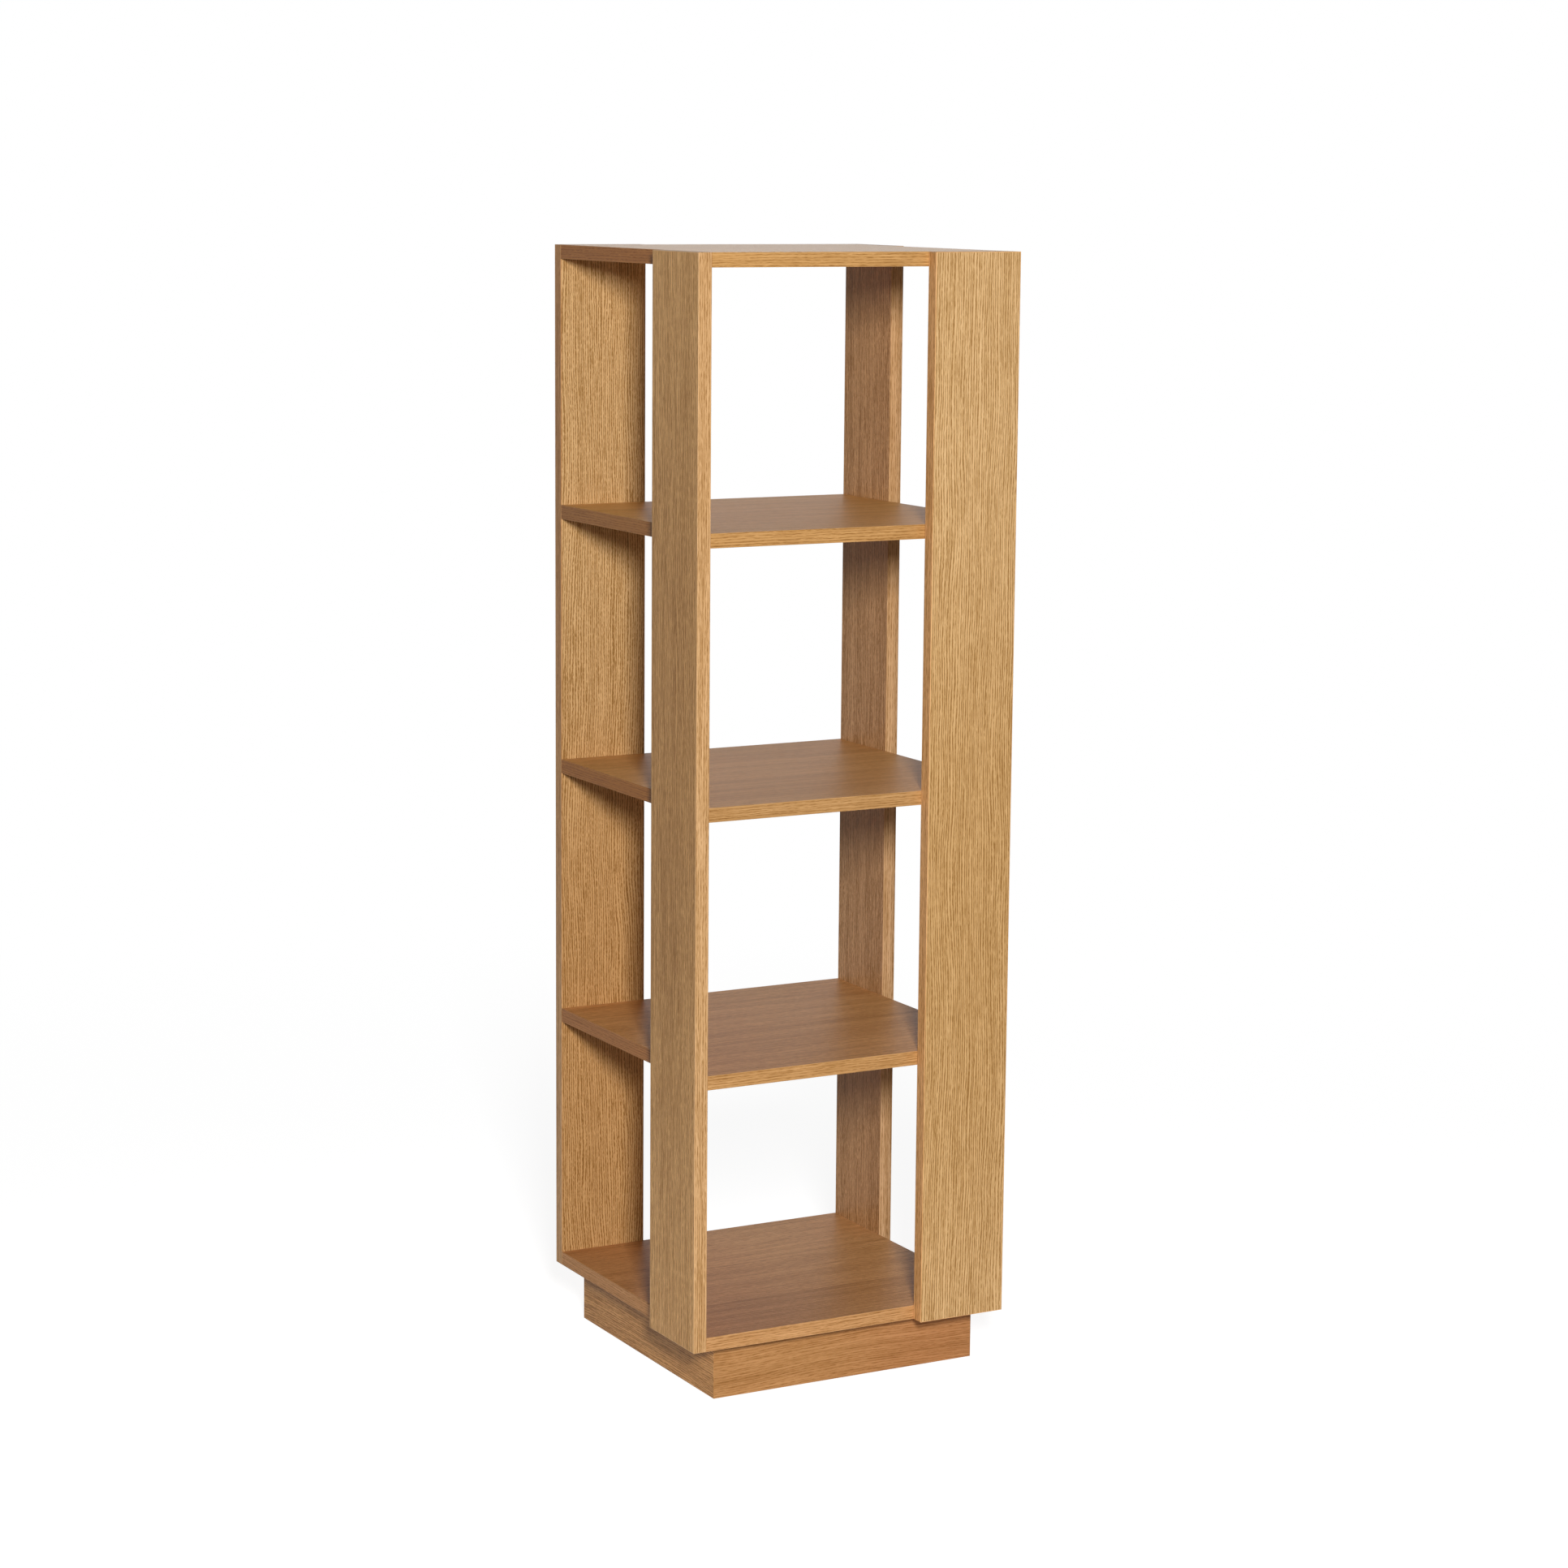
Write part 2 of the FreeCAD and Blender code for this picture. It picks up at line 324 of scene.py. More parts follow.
def streaks(across, along, layer, width, length, detail=2.0):
    """Noise about 0.5 in streaks of that width and length in millimetres."""
    spot = across.node("ShaderNodeCombineXYZ", {}, {0: across / width, 1: along / length, 2: layer})
    return across.node("ShaderNodeTexNoise", {}, {"Vector": spot, "Scale": 1.0, "Detail": detail})


def toned(colour, strength):
    """A wood colour lighter or darker: pale oak is greyer and dark oak redder."""
    powers = (1.0, 1.27, 1.85)
    return tuple(part * strength**power for part, power in zip(colour, powers)) + (1.0,)


def wear(name, material):
    """Gives a CAD node its finish."""
    for slot in nodes[name].material_slots:
        slot.material = material


print("helpers ready, a metre is", metre, "mm")

# %% [markdown]
# ## The figure of oak
#
# Straight-grained oak shows growth lines three to four millimetres apart. In each line the wood of
# spring is full of open pores, which read as short dark dashes, and the wood of summer is smooth
# and pale. A sine across the board gives the lines. Noises in long streaks bend them, change
# their spacing and let them fade here and there, as in a tree. The dashes are strongest in the
# dark half of each line. Long fine fibres and soft bands, a centimetre or two across, go with
# them.
#
# Each kind of streak has its own layer of the noise, and its width and length in millimetres.

# %% Oak figure
streak_kinds = {
    "drift": (0.0, 130, 450),
    "shiver": (3.1, 6, 42),
    "bands": (5.3, 14, 700),
    "pace": (6.1, 9, 500),
    "fading": (8.7, 2.5, 55),
    "fibres": (7.7, 1.1, 65),
    "dashes": (11.9, 0.5, 9),
    "pores": (17.3, 0.4, 9),
}
line_spacing = 3.4
pace_change = 1.7
shiver_reach = 2.4
fading_edge = (0.25, 0.6)
spring_edge = (-0.7, 0.6)
pore_edge = (0.56, 0.68)
summer_dashes = 0.2
joint_edge = (0.2, 0.7)


def oak_figure(across, along, layer, wander, run, shares):
    """The growth lines, about 0, darker below and paler above, and the pores, from 0 to 1.

    The lines wander sideways by up to half the wander, in millimetres. The run stretches the
    fibres and pores: 1 is straight oak, and less is oak with a livelier grain.
    """

    def kind(name, wire, stretch=1.0):
        """One kind of streak across that wire, its length stretched."""
        own_layer, width, length = streak_kinds[name]
        return streaks(wire, along, layer + own_layer, width, length * stretch)

    bands_share, rings_share, fibres_share, dashes_share = shares
    drift = (kind("drift", across) - 0.5) * wander
    shiver = (kind("shiver", across, run) - 0.5) * shiver_reach
    line = across + drift + shiver
    bands = kind("bands", line) - 0.5
    pace = kind("pace", line) * pace_change
    ripple = line.sum("SINE", (line / line_spacing + pace) * math.tau)
    rings = ripple * soft_step(kind("fading", line, run), *fading_edge)
    fibres = kind("fibres", line, run) - 0.5
    spring = 1 - soft_step(ripple, *spring_edge)
    dash_strength = spring * (1 - summer_dashes) + summer_dashes
    dashes = (kind("dashes", line, run) - 0.5) * dash_strength
    lines = bands * bands_share + rings * rings_share
    lines = lines + fibres * fibres_share + dashes * dashes_share
    pores = soft_step(kind("pores", line, run), *pore_edge) * spring
    return lines, pores


def leaves(across, joint, width, seed):
    """Number, tone and joint line of the veneer leaves that lie side by side from a joint."""
    count = (across - joint) / width
    number = across.sum("FLOOR", count)
    one_value = {"noise_dimensions": "1D"}
    chance = across.node("ShaderNodeTexWhiteNoise", one_value, {"W": number + seed}) - 0.5
    gap = abs(across.sum("FRACT", count + 0.5) - 0.5) * width
    return number, chance, 1 - soft_step(gap, *joint_edge)


print("oak figure:", len(streak_kinds), "kinds of streak, lines", line_spacing, "mm apart")

# %% [markdown]
# ## Lacquered oak
#
# The boards are faced with leaves of veneer, glued side by side, and each leaf has its own tone
# and its own stretch of the figure. A clear satin lacquer covers the wood: it keeps a soft sheen,
# which shows on the shelves because they are seen at a low angle. The pores stay open under it,
# so they are sunk a little and duller. The pattern reads the place on the board, so the two faces
# of a board differ, as they do on a real one.

# %% Veneer
satin_gloss = 0.12
satin_dullness = 0.42
pore_depth = 0.0002
pore_relief = 0.35
pore_dullness = 0.15
dark_line = 0.62
pale_line = 1.32
dark_gap = 0.5
pore_cover = 0.5
joint_cover = 0.6
depth_shift = 0.31
leaf_shift = 4.3
level_share = 0.15


def lacquered(start, colour, pores, gloss, dullness=satin_dullness):
    """Oak of that colour under satin lacquer, with the pores sunk a little."""
    sinking = {"Strength": pore_relief, "Distance": pore_depth, "Height": pores}
    relief = start.node("ShaderNodeBump", {"invert": True}, sinking)
    finish = {
        "Base Color": colour,
        "Roughness": pores * pore_dullness + dullness,
        "Specular IOR Level": gloss,
        "Normal": relief,
    }
    shader = start.node("ShaderNodeBsdfPrincipled", {}, finish)
    start.node("ShaderNodeOutputMaterial", {}, {"Surface": shader})


def oak_colour(lines, pores, oak, contrast):
    """The colour of oak from its growth lines and pores."""
    stops = [(0.0, toned(oak, dark_line)), (0.5, toned(oak, 1.0)), (1.0, toned(oak, pale_line))]
    wood = lines.node("ShaderNodeValToRGB", {"stops": stops}, {0: lines * contrast + 0.5})
    return mixed(pores * pore_cover, wood, toned(oak, dark_gap))


def drifted(colour, along, change):
    """The colour with a tint near one place along the grain: change is tint, place and reach."""
    tint, place, reach = change
    share = 1 - soft_step(abs(along - place), reach * level_share, reach)
    return mixed(share, colour, tint + (1.0,), "MULTIPLY")


def veneer(
    name, axes, oak, contrast, seed, cut, change, grain, gloss=satin_gloss, dullness=satin_dullness
):
    """Veneer for a board: axes name across, along and thickness.

    The cut is the place of a joint, the width of a leaf and how much the leaves differ in tone.
    The grain is its wander, its run and the shares of its parts, as the oak's figure takes them.
    """
    joint_place, width, tone = cut
    material, start = new_finish(name)
    place = place_in_mm(start)
    across, along, depth = [place["xyz".index(axis)] for axis in axes]
    number, chance, joint = leaves(across, joint_place, width, seed)
    layer = depth * depth_shift + number * leaf_shift + seed
    lines, pores = oak_figure(across, along, layer, *grain)
    colour = oak_colour(lines + chance * tone, pores, oak, contrast)
    colour = drifted(colour, along, change)
    colour = mixed(joint * joint_cover, colour, toned(oak, dark_gap))
    lacquered(start, colour, pores, gloss, dullness)
    return material


print("veneer: gloss", satin_gloss, "and roughness", satin_dullness)

# %% [markdown]
# ## The uprights
#
# The grain of each upright runs up. The four boards were cut from different leaves: the front
# right one is the palest and has the finest grain, and the front left one has a joint near its
# middle. The others hold one leaf each. The tone of a leaf also changes slowly along its length,
# and three of the four boards are a little darker and redder near or below their middle.
#
# Three tables hold what differs: the change of tone, the grain, and the veneer with its axes,
# colour, contrast, seed and the place of a joint.

# %% Uprights
leaf_width = 190
leaf_tone = 0.22
changes = {
    "front_right": ((0.895, 0.845, 0.745), 600, 700),
    "rear_right": ((0.97, 1.0, 1.08), 600, 700),
    "rear_left": ((0.89, 0.795, 0.7), 350, 800),
    "front_left": ((0.805, 0.755, 0.69), 850, 720),
}
grains = {
    "front_right": (36, 0.8, (0.4, 0.5, 1.5, 3.2)),
    "rear_right": (36, 0.7, (0.9, 0.42, 1.7, 4.3)),
    "rear_left": (40, 0.6, (0.5, 0.5, 1.7, 3.8)),
    "front_left": (36, 1.1, (0.8, 0.42, 1.6, 4.3)),
}
uprights = {
    "front_right": ("xzy", (0.556, 0.335, 0.141), 1.1, 11.0, 60),
    "rear_right": ("yzx", (0.464, 0.245, 0.098), 2.1, 23.0, 60),
    "rear_left": ("xzy", (0.468, 0.273, 0.107), 2.0, 37.0, -60),
    "front_left": ("yzx", (0.6, 0.329, 0.118), 2.0, 41.0, -162),
}
for corner, (axes, oak, contrast, seed, joint) in uprights.items():
    cut = (joint, leaf_width, leaf_tone)
    change, grain = changes[corner], grains[corner]
    finish = veneer("oak_" + corner, axes, oak, contrast, seed, cut, change, grain)
    wear(corner + "_upright", finish)
print("uprights:", ", ".join(uprights))

# %% [markdown]
# ## The shelves
#
# The grain of the shelves runs from left to right. Each face is several leaves wide, with fine
# dark joints between them. The top board is the palest and the glossiest: its paleness is a painted
# sheen, for seen almost along its face, it shines like pale cream. The other shelves are a warm
# brown, painted a little darker the lower they stand, as painted shade. The two lowest are painted
# darker and redder towards their left end, as painted shade beside the front left upright. The
# table gives each shelf its colour, contrast, seed, cut, gloss and roughness.

# %% Shelves
no_tint = (1.0, 1.0, 1.0)
left_end = -221
left_reach = 300
shelves = {
    # The colours of the four lower shelves grow darker the lower they stand: painted shade, as less
    # light reaches the low shelves.
    "bottom": ((0.495, 0.245, 0.088), 0.9, 5.0, (-96, 150, 0.5), 0.11, 0.42),
    "lower": ((0.514, 0.252, 0.087), 0.9, 13.0, (2, 112, 0.3), 0.11, 0.42),
    "middle": ((0.546, 0.276, 0.093), 0.6, 19.0, (-40, 140, leaf_tone), 0.11, 0.42),
    "upper": ((0.56, 0.288, 0.086), 0.6, 29.0, (25, 140, leaf_tone), 0.11, 0.42),
    # The top shelf's pale colour is a painted sheen: the white backdrop its face reflects when seen
    # almost edge-on.
    "top": ((0.78, 0.415, 0.14), 0.6, 31.0, (-70, 150, leaf_tone), 0.2, 0.3),
}
shelf_grain = (20, 1.0, (1.1, 0.42, 1.5, 4.3))
# Painted shade: the bottom and lower shelves are darkened and reddened towards the left end, beside
# the front left upright.
painted_left_shade = {"bottom": (0.82, 0.72, 0.66), "lower": (0.95, 0.9, 0.86)}
for level_name, (oak, contrast, seed, cut, gloss, dullness) in shelves.items():
    name = "oak_" + level_name + "_shelf"
    change = (painted_left_shade.get(level_name, no_tint), left_end, left_reach)
    finish = veneer(name, "yxz", oak, contrast, seed, cut, change, shelf_grain, gloss, dullness)
    wear(level_name + "_shelf", finish)
print("shelves:", ", ".join(shelves))

# %% [markdown]
# ## The plinth
#
# The four plinth boards are veneered with the grain level. The growth lines are faint here, and
# they wander so far that they sweep across these low boards at a slant. The front board turns
# darker and redder towards its right end.

# %% Plinth
plinth = {
    "front": ("zxy", (0.389, 0.188, 0.064), 0.85, 43.0, (0.93, 0.84, 0.85)),
    "right": ("zyx", (0.446, 0.218, 0.074), 1.2, 47.0, no_tint),
    "rear": ("zxy", (0.428, 0.206, 0.07), 1.2, 53.0, no_tint),
    "left": ("zyx", (0.482, 0.236, 0.073), 2.2, 59.0, no_tint),
}
plinth_end = 200
plinth_reach = 280
plinth_cut = (-50, leaf_width, leaf_tone)
plinth_grain = (32, 1.0, (0.8, 0.2, 1.6, 2.8))
for side, (axes, oak, contrast, seed, tint) in plinth.items():
    change = (tint, plinth_end, plinth_reach)
    name = "oak_" + side + "_plinth"
    finish = veneer(name, axes, oak, contrast, seed, plinth_cut, change, plinth_grain)
    wear(side + "_plinth_board", finish)
print("plinth boards:", ", ".join(plinth))

# %% [markdown]
# ## The edging
#
# Every narrow side of the uprights and shelves is covered with a strip of oak, and the grain
# follows the strip. The strips run round their board, so the direction of the grain is chosen by
# the place: on an upright's end strips it runs across the board, on a shelf's side strips it runs
# from front to rear. The strips on the shelves' sides are painted darker and redder than those at
# the front, as painted shade where the uprights beside them shade them. The arrises are sanded
# round, and there the oak is paler: partly sanded wear, partly a painted highlight where a rounded
# arris catches the lamp. The rear left upright's strips are painted paler and bluer towards the
# floor, as painted light bounced up from it.

# %% Edging
tower_height = 1500
edging_grain = (6.0, 1.0, (0.9, 0.3, 1.9, 3.8))
# The arrises are paler: partly sanded wear, partly a painted highlight of the rounded arris.
arris_wear_and_highlight = (8.7, 9.5)
arris_wear_and_highlight_cover = 0.4
arris_wear_and_highlight_tone = 1.3
strip_shift = 6.7


def edging(name, places, middle, oak, contrast, seed, painted_side_shade, foot=no_tint):
    """Edging strips: places gives across, along, thickness and which strip, from 0 to 1."""
    material, start = new_finish(name)
    x, y, z = place_in_mm(start)
    across, along, depth, side = places(x, y, z)
    layer = depth * depth_shift + side * strip_shift + seed
    lines, pores = oak_figure(across, along, layer, *edging_grain)
    colour = oak_colour(lines, pores, oak, contrast)
    # Painted shade: a shelf's side strips take this darker, redder tint.
    colour = mixed(side, colour, painted_side_shade + (1.0,), "MULTIPLY")
    # Towards the floor the strip takes the foot tint: on the rear left upright this is painted
    # light, paler and bluer from the floor's bounce; on the rear right one it turns a little darker
    # towards the floor.
    colour = drifted(colour, z, (foot, 0, tower_height))
    # Paler oak near the arrises: partly sanded wear, partly a painted highlight where the rounded
    # arris catches the lamp.
    worn_and_lit_arris = soft_step(abs(across - middle), *arris_wear_and_highlight)
    colour = mixed(worn_and_lit_arris * arris_wear_and_highlight_cover, colour, toned(oak, arris_wear_and_highlight_tone))
    lacquered(start, colour, pores, satin_gloss)
    return material


def chosen(share, first, second):
    """The first wire where the share is 0 and the second where it is 1."""
    return first * (1 - share) + second * share


print("edging: arrises sanded from", arris_wear_and_highlight[0], "mm off the middle of a strip")

# %% [markdown]
# The strips on an upright's long sides run up. Those on its two ends lie across the board, above
# and below the long ones, so the height tells which strip a place is on. A shelf's strips are
# told apart by the nearer side.

# %% Edging in its places
upright_middle = 788
upright_ends = 711
from_centre = 230.5
seed_step = 2
shelf_edge_contrast = 0.7


def upright_strips(flat_axis):
    """Places for an upright's strips: they run up, and the end strips run across the board."""

    def places(x, y, z):
        wide, thick = (x, y) if flat_axis == "y" else (y, x)
        end = abs(z - upright_middle) > upright_ends
        return thick, chosen(end, z, wide), chosen(end, wide, z), end

    return places


def shelf_strips(x, y, z):
    """Places for a shelf's strips: each runs along its own side."""
    side = abs(x) > abs(y)
    return z, chosen(side, x, y), chosen(side, y, x), side


# The last column tints a strip towards the floor: rear left is painted paler and bluer as painted
# floor bounce light, rear right turns a little darker towards the floor.
upright_edges = {
    "front_right": ((0.585, 0.31, 0.116), -from_centre, 1.3, no_tint),
    "rear_right": ((0.516, 0.291, 0.127), from_centre, 0.9, (0.93, 0.95, 1.0)),
    "rear_left": ((0.46, 0.223, 0.079), from_centre, 1.0, (1.12, 1.27, 1.5)),
    "front_left": ((0.53, 0.3, 0.126), -from_centre, 0.95, no_tint),
}
for corner, (oak, middle, contrast, foot) in upright_edges.items():
    name = "oak_" + corner + "_edging"
    strips = upright_strips(uprights[corner][0][2])
    seed = uprights[corner][3] + seed_step
    finish = edging(name, strips, middle, oak, contrast, seed, no_tint, foot)
    wear(corner + "_upright_edging", finish)

# The second colour of each shelf is painted shade on its side strips, which the uprights beside them
# shade.
shelf_edges = {
    "bottom": ((0.493, 0.251, 0.094), (0.98, 0.9, 0.8)),
    "lower": ((0.488, 0.254, 0.09), (0.79, 0.6, 0.43)),
    "middle": ((0.446, 0.235, 0.083), (0.755, 0.53, 0.25)),
    "upper": ((0.46, 0.237, 0.077), (0.685, 0.525, 0.34)),
    "top": ((0.493, 0.26, 0.086), (0.725, 0.52, 0.34)),
}
for level_name, (oak, tint) in shelf_edges.items():
    low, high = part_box(level_name + "_shelf")
    middle = (low[2] + high[2]) / 2 * metre
    seed = shelves[level_name][2] + seed_step
    strip = level_name + "_shelf_edging"
    finish = edging("oak_" + strip, shelf_strips, middle, oak, shelf_edge_contrast, seed, tint)
    wear(strip, finish)
print("edging on", len(upright_edges) + len(shelf_edges), "boards")

# %% [markdown]
# ## Softwood and beech
#
# Behind the plinth boards stand four blocks of planed pine. Pine has growth rings round a pith
# that lies outside such a small block, so the rings are circles about a point beside it: stripes
# on the sides and arcs on the ends. The dowels are beech, a plain pale wood with short dark
# flecks along the grain.

# %% Pine blocks
pith_away = (34, 25)
ring_spacing = 3.2
ring_sway = 6
pine_spring = (0.68, 0.49, 0.27, 1.0)
pine_summer = (0.47, 0.25, 0.09, 1.0)
pine_fibre = (0.8, 0.62, 0.38, 1.0)
bare_gloss = 0.3


def pine(name, pith):
    """Planed pine with its growth rings about the pith, an upright line given in millimetres."""
    material, start = new_finish(name)
    x, y, z = place_in_mm(start)
    wide = start.sum("POWER", x - pith[0], 2.0)
    deep = start.sum("POWER", y - pith[1], 2.0)
    radius = start.sum("SQRT", wide + deep)
    uneven = (streaks(x, z, y / 30, 30, 160) - 0.5) * ring_sway
    ring = start.sum("FRACT", (radius + uneven) / ring_spacing)
    summer = soft_step(ring, 0.35, 0.95) * (1 - soft_step(ring, 0.95, 1.0))
    fibre = streaks(x + y, z, radius / 9, 0.5, 24)
    colour = mixed(fibre * 0.3, mixed(summer, pine_spring, pine_summer), pine_fibre)
    planing = {"Strength": 0.3, "Distance": 0.0002, "Height": fibre}
    finish = {
        "Base Color": colour,
        "Roughness": summer * -0.1 + 0.75,
        "Specular IOR Level": bare_gloss,
        "Normal": start.node("ShaderNodeBump", {}, planing),
    }
    shader = start.node("ShaderNodeBsdfPrincipled", {}, finish)
    start.node("ShaderNodeOutputMaterial", {}, {"Surface": shader})
    return material


for corner in uprights:
    low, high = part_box(corner + "_corner_block")
    pith = [(low[axis] + high[axis]) / 2 * metre + pith_away[axis] for axis in (0, 1)]
    wear(corner + "_corner_block", pine("pine_" + corner + "_block", pith))
print("pine blocks with rings", ring_spacing, "mm apart")

# %% Beech dowels
beech_dark = (0.55, 0.36, 0.2, 1.0)
beech_pale = (0.7, 0.49, 0.3, 1.0)
beech_fleck = (0.36, 0.2, 0.1, 1.0)
material, start = new_finish("turned_beech")
x, y, z = place_in_mm(start)
side = abs(x) > abs(y)
across, along = chosen(side, x, y), chosen(side, y, x)
flecks = soft_step(streaks(across, along, z / 0.6, 0.5, 3), 0.56, 0.66)
tone = streaks(across, along, z / 3, 3, 60)
colour = mixed(flecks * 0.5, mixed(tone, beech_dark, beech_pale), beech_fleck)
dullness = flecks * 0.1 + 0.7
finish = {"Base Color": colour, "Roughness": dullness, "Specular IOR Level": bare_gloss}
shader = start.node("ShaderNodeBsdfPrincipled", {}, finish)
start.node("ShaderNodeOutputMaterial", {}, {"Surface": shader})
wear("dowels", material)
print("finished:", material.name)

# %% [markdown]
# ## Metal and plastic
#
# The cam locks in the undersides of the shelves are die-cast zinc, dull and finely pitted. Bolts,
# screws and brackets are steel with a bright zinc plate, which has faint yellow and blue clouds.
# Both are metals whose grain varies the colour and the dullness a little. The glides are moulded
# in brown plastic, with the fine even grain of the mould. One function makes all three, from
# grains and clouds of given sizes.

# %% A grained finish
def speckled(start, size):
    """Noise in grains of that size in millimetres, the same all ways."""
    x, y, z = place_in_mm(start)
    return streaks(x, y, z / size, size, size, 3.0)


def grained(name, dark, pale, grain, cloud, roughness, depth, metallic):
    """A hard finish: sizes of its grains and clouds in millimetres, its relief's depth in metres."""
    material, start = new_finish(name)
    grains = speckled(start, grain)
    clouds = soft_step(speckled(start, cloud), 0.35, 0.65)
    colour = mixed(clouds * 0.6 + (grains - 0.5) * 0.8, dark + (1.0,), pale + (1.0,))
    pitting = {"Strength": 0.5, "Distance": depth, "Height": grains}
    finish = {
        "Base Color": colour,
        "Metallic": metallic,
        "Roughness": (grains - 0.5) * 0.3 + roughness,
        "Normal": start.node("ShaderNodeBump", {}, pitting),
    }
    shader = start.node("ShaderNodeBsdfPrincipled", {}, finish)
    start.node("ShaderNodeOutputMaterial", {}, {"Surface": shader})
    return material


print("grained finish ready")

# %% Fixings
grey_zinc = ((0.4, 0.4, 0.41), (0.56, 0.56, 0.56))
bright_zinc = ((0.56, 0.58, 0.62), (0.7, 0.69, 0.64))
brown = ((0.075, 0.045, 0.028), (0.11, 0.068, 0.044))
cast_zinc = grained("cast_zinc", *grey_zinc, 0.5, 4.0, 0.48, 0.0001, 1.0)
zinc_plate = grained("zinc_plate", *bright_zinc, 0.3, 7.0, 0.3, 0.00003, 1.0)
glide_plastic = grained("brown_plastic", *brown, 0.35, 6.0, 0.5, 0.00006, 0.0)

wear("cam_locks", cast_zinc)
wear("cam_bolts", zinc_plate)
for side in plinth:
    wear(side + "_plinth_bracket", zinc_plate)
for corner in uprights:
    wear(corner + "_glide", glide_plastic)
print("fixings in", cast_zinc.name, zinc_plate.name, glide_plastic.name)

# %% [markdown]
# ## The wood screws
#
# Eight screws hold the corner blocks to the plinth boards, and eight more hold the angle brackets.
# The CAD model has them as plain rods with a countersunk head. A real screw has a cross recess for
# the driver, and a thread that winds down to its point. Only the heads show, and only from below,
# but each screw is whole, as it would be when it is taken out.
#
# The body starts as a cone, which is the head. Its small end is extruded ring by ring down to the
# point. A thread is a ridge that climbs by one pitch in each turn, so every corner of a ring is
# moved in or out by where it stands on that ridge.

# %% A screw's body
screw_sides = 24
core_share = 0.68
ridge_share = 0.32


def select_end(body, height):
    """Selects, in edit mode, the level face of the body at that height."""
    bpy.ops.object.mode_set(mode="EDIT")
    bpy.context.tool_settings.mesh_select_mode = (False, False, True)
    bpy.ops.mesh.select_all(action="DESELECT")
    bpy.ops.object.mode_set(mode="OBJECT")
    for face in body.data.polygons:
        face.select = abs(face.center.z - height) < 1e-6 and abs(face.normal.z) > 0.99
    bpy.ops.object.mode_set(mode="EDIT")


def screw_body(diameter, head, length, neck, rings):
    """A countersunk head with its top at zero, a plain neck, then rings down to the point."""
    cone = (head - diameter) / 2
    bpy.ops.object.select_all(action="DESELECT")
    bpy.ops.mesh.primitive_cone_add(
        vertices=screw_sides,
        radius1=head / 2,
        radius2=diameter / 2,
        depth=cone,
        location=(0, 0, cone / 2),
    )
    bpy.ops.object.transform_apply()
    body = bpy.context.object
    select_end(body, cone)
    bpy.ops.mesh.extrude_region_move(TRANSFORM_OT_translate={"value": (0, 0, neck)})
    step = (length - cone - neck) / rings
    for ring in range(rings):
        bpy.ops.mesh.extrude_region_move(TRANSFORM_OT_translate={"value": (0, 0, step)})
    bpy.ops.mesh.merge(type="CENTER")
    bpy.ops.object.mode_set(mode="OBJECT")
    return body


def wind_thread(body, diameter, start, length, pitch):
    """Moves the corners below the start to a ridge round a core, tapered to the point."""
    for corner in body.data.vertices:
        x, y, z = corner.co
        if z < start:
            continue
        phase = (z / pitch - math.atan2(y, x) / math.tau) % 1
        ridge = max(0.0, 1 - 4 * abs(phase - 0.5))
        taper = min(1.0, (length - z) / diameter)
        share = taper * (core_share + ridge_share * ridge)
        corner.co = (x * share, y * share, z)


print("screw body: core", core_share, "of the outside")

# %% [markdown]
# The recess is cut by two crossed wedges, one after the other. Each starts just above the head and
# narrows with its depth, like the wings on the point of a driver. Their sizes and heights are
# shares of the head's diameter.

# %% The cross recess
wedge_size = (0.15, 0.58, 0.35)
wedge_middle = 0.125
wedge_floor = 0.3
floor_taper = (0.45, 0.25, 1)


def cut_recess(body, head):
    """Cuts a cross recess into the top of the head."""
    for quarter in (0, 1):
        bpy.ops.object.select_all(action="DESELECT")
        bpy.ops.mesh.primitive_cube_add(size=1)
        wedge = bpy.context.object
        bpy.ops.object.mode_set(mode="EDIT")
        bpy.ops.mesh.select_all(action="SELECT")
        bpy.ops.transform.resize(value=[head * share for share in wedge_size])
        bpy.ops.transform.translate(value=(0, 0, head * wedge_middle))
        bpy.ops.object.mode_set(mode="OBJECT")
        select_end(wedge, head * wedge_floor)
        bpy.ops.transform.resize(value=floor_taper)
        bpy.ops.mesh.select_all(action="SELECT")
        angle = math.radians(90 * quarter)
        bpy.ops.transform.rotate(value=angle, orient_axis="Z", center_override=(0, 0, 0))
        bpy.ops.object.mode_set(mode="OBJECT")
        cut = body.modifiers.new("recess", "BOOLEAN")
        cut.operation = "DIFFERENCE"
        cut.object = wedge
        bpy.context.view_layer.objects.active = body
        bpy.ops.object.modifier_apply(modifier="recess")
        bpy.data.objects.remove(wedge)


print("recess", wedge_size[1], "of the head across")

# %% [markdown]
# A whole screw is a body, a thread and a recess. The rings of the body are spaced so that about
# eight of them go to one turn of the thread. The block screws are 4 by 40 millimetres, and the
# bracket screws 3.5 by 14.

# %% A whole screw
rings_in_a_turn = 8


def wood_screw(diameter, head, length, neck, pitch):
    """One screw along z, with its head up to zero; sizes in metres."""
    start = (head - diameter) / 2 + neck
    rings = round((length - start) / pitch * rings_in_a_turn)
    body = screw_body(diameter, head, length, neck, rings)
    half_ring = pitch / rings_in_a_turn / 2
    wind_thread(body, diameter, start + half_ring, length, pitch)
    cut_recess(body, head)
    print("screw", round(length * 1000), "mm:", rings, "rings,", len(body.data.polygons), "faces")
    return body


block_screw = wood_screw(diameter=0.004, head=0.008, length=0.04, neck=0.009, pitch=0.0017)
bracket_screw = wood_screw(diameter=0.0035, head=0.007, length=0.014, neck=0.001, pitch=0.0015)

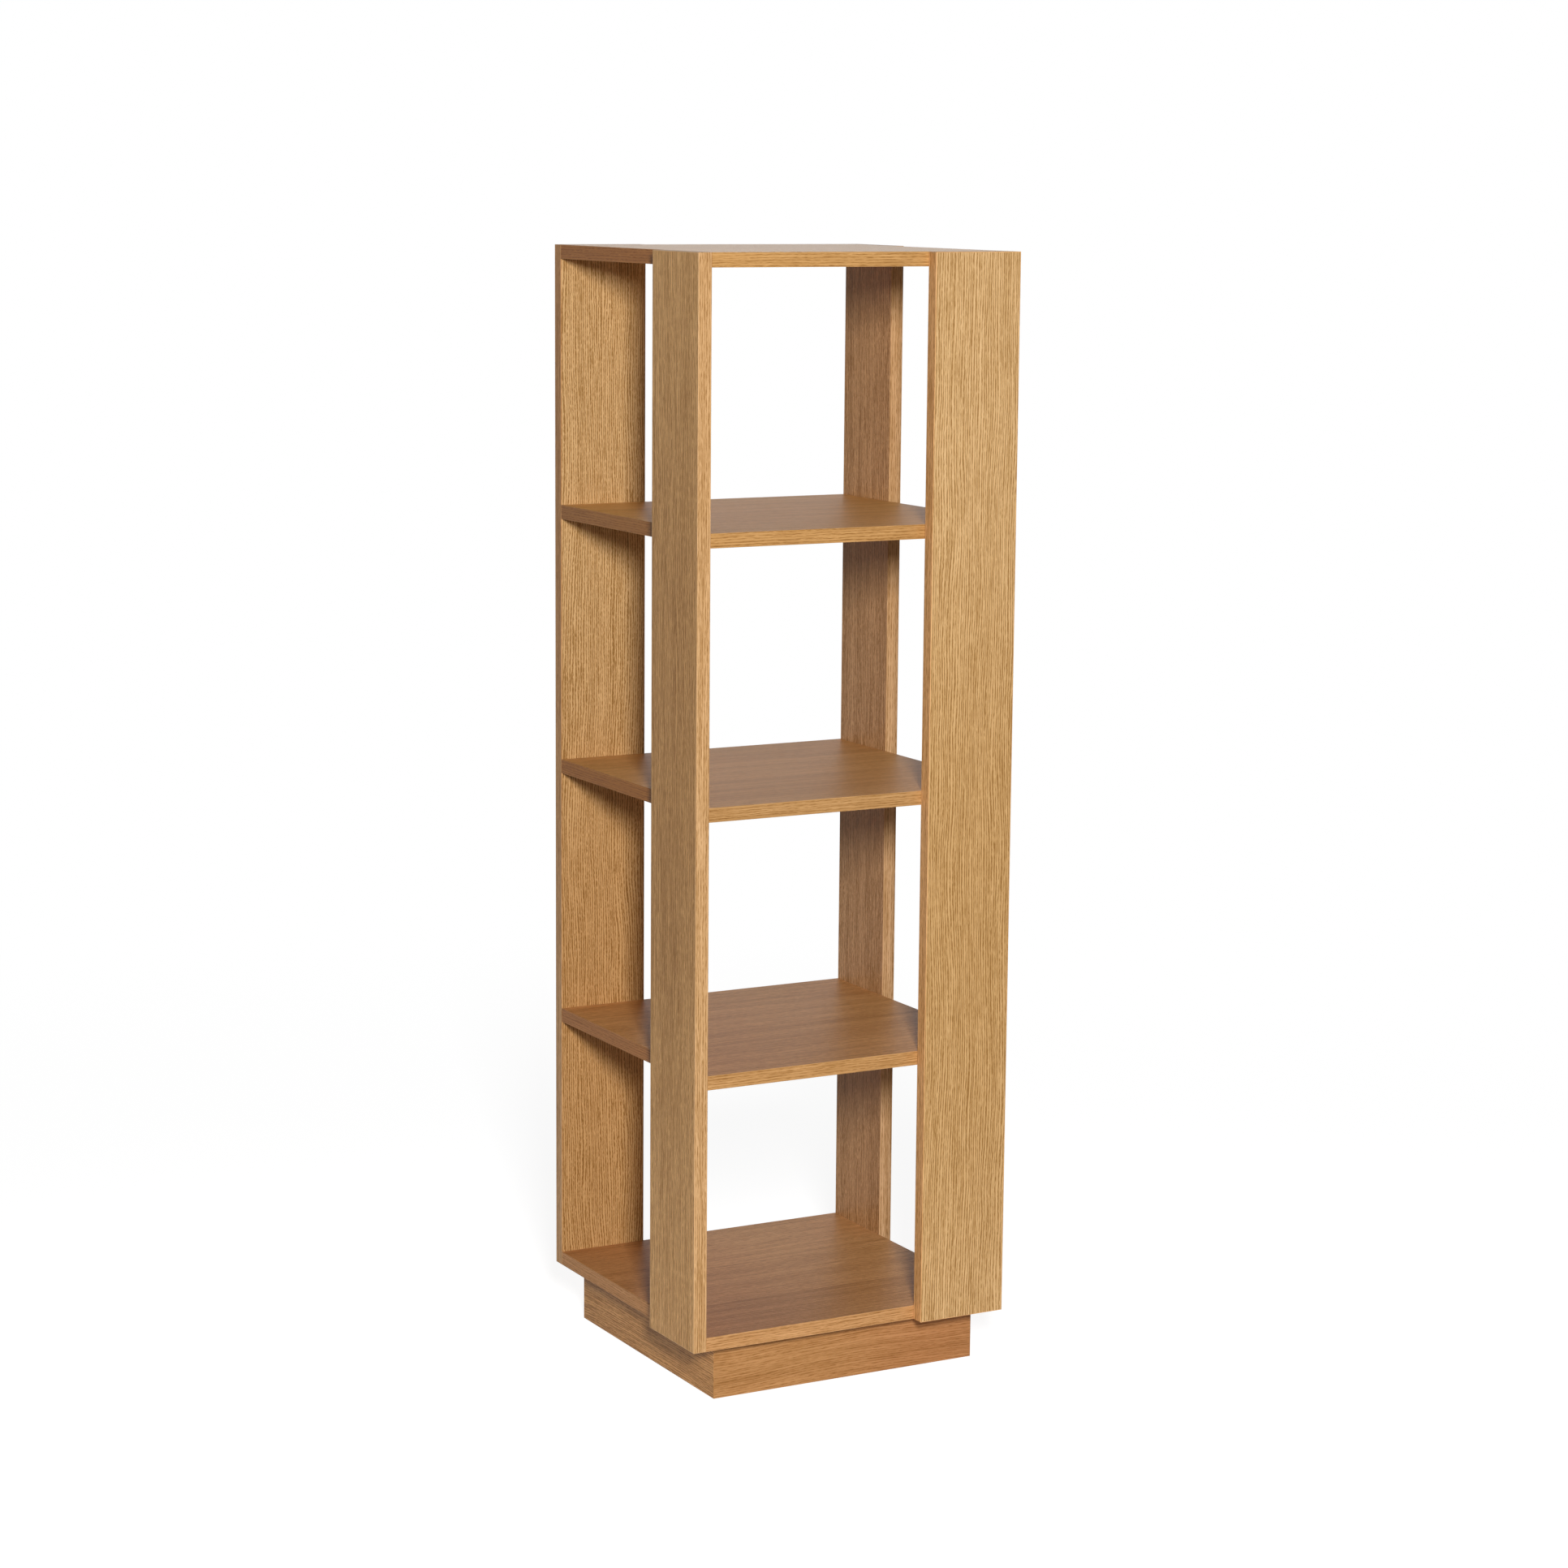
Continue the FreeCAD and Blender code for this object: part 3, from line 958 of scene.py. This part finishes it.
# %% [markdown]
# The screws stand where their holes are: in the middle of a block's inner faces, at a third and two
# thirds of the plinth's height, and in the middle of a bracket's legs. The set at the front is
# turned three times about the tower. No two recesses stand at the same angle, as on screws that
# were driven by hand.

# %% Screws in their places
twist_step = 2.4
smooth_below = math.radians(35)


def driven(body, place, direction, quarter, twist):
    """A copy of the screw with its head at the place, along the direction, then turned about z."""
    copy = body.copy()
    copy.data = body.data.copy()
    along = direction.to_track_quat("Z", "Y").to_matrix().to_4x4()
    spin = Matrix.Rotation(twist, 4, "Z")
    side = Matrix.Rotation(math.radians(90 * quarter), 4, "Z")
    copy.data.transform(side @ Matrix.Translation(place) @ along @ spin)
    bpy.context.collection.objects.link(copy)
    return copy


def screw_set(node, body, places):
    """Puts the screw at each place on all four sides, as one piece instead of the CAD node."""
    made = []
    for quarter in range(4):
        for place, direction in places:
            twist = twist_step * len(made)
            made.append(driven(body, place, direction, quarter, twist))
    bpy.data.objects.remove(body)
    bpy.ops.object.select_all(action="DESELECT")
    for copy in made:
        copy.select_set(True)
    bpy.context.view_layer.objects.active = made[0]
    bpy.ops.object.join()
    screws = bpy.context.object
    screws.name = "threaded_" + node
    screws.data.materials.clear()
    screws.data.materials.append(zinc_plate)
    bpy.ops.object.shade_smooth_by_angle(angle=smooth_below)
    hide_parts(node)
    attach(screws, "root")
    print(screws.name, len(made), "screws")


low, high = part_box("front_right_corner_block")
foot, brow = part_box("front_plinth_board")
middle = (low + high) / 2
third = (brow.z - foot.z) / 3
block_places = [
    (Vector((middle.x, high.y, foot.z + third)), Vector((0, -1, 0))),
    (Vector((low.x, middle.y, foot.z + 2 * third)), Vector((1, 0, 0))),
]
screw_set("block_screws", block_screw, block_places)

low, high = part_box("front_plinth_bracket")
bracket_steel = 0.002
leg_middle = (high.z - low.z + bracket_steel) / 2
bracket_places = [
    (Vector((0, low.y + bracket_steel, high.z - leg_middle)), Vector((0, -1, 0))),
    (Vector((0, low.y + leg_middle, high.z - bracket_steel)), Vector((0, 0, 1))),
]
screw_set("bracket_screws", bracket_screw, bracket_places)
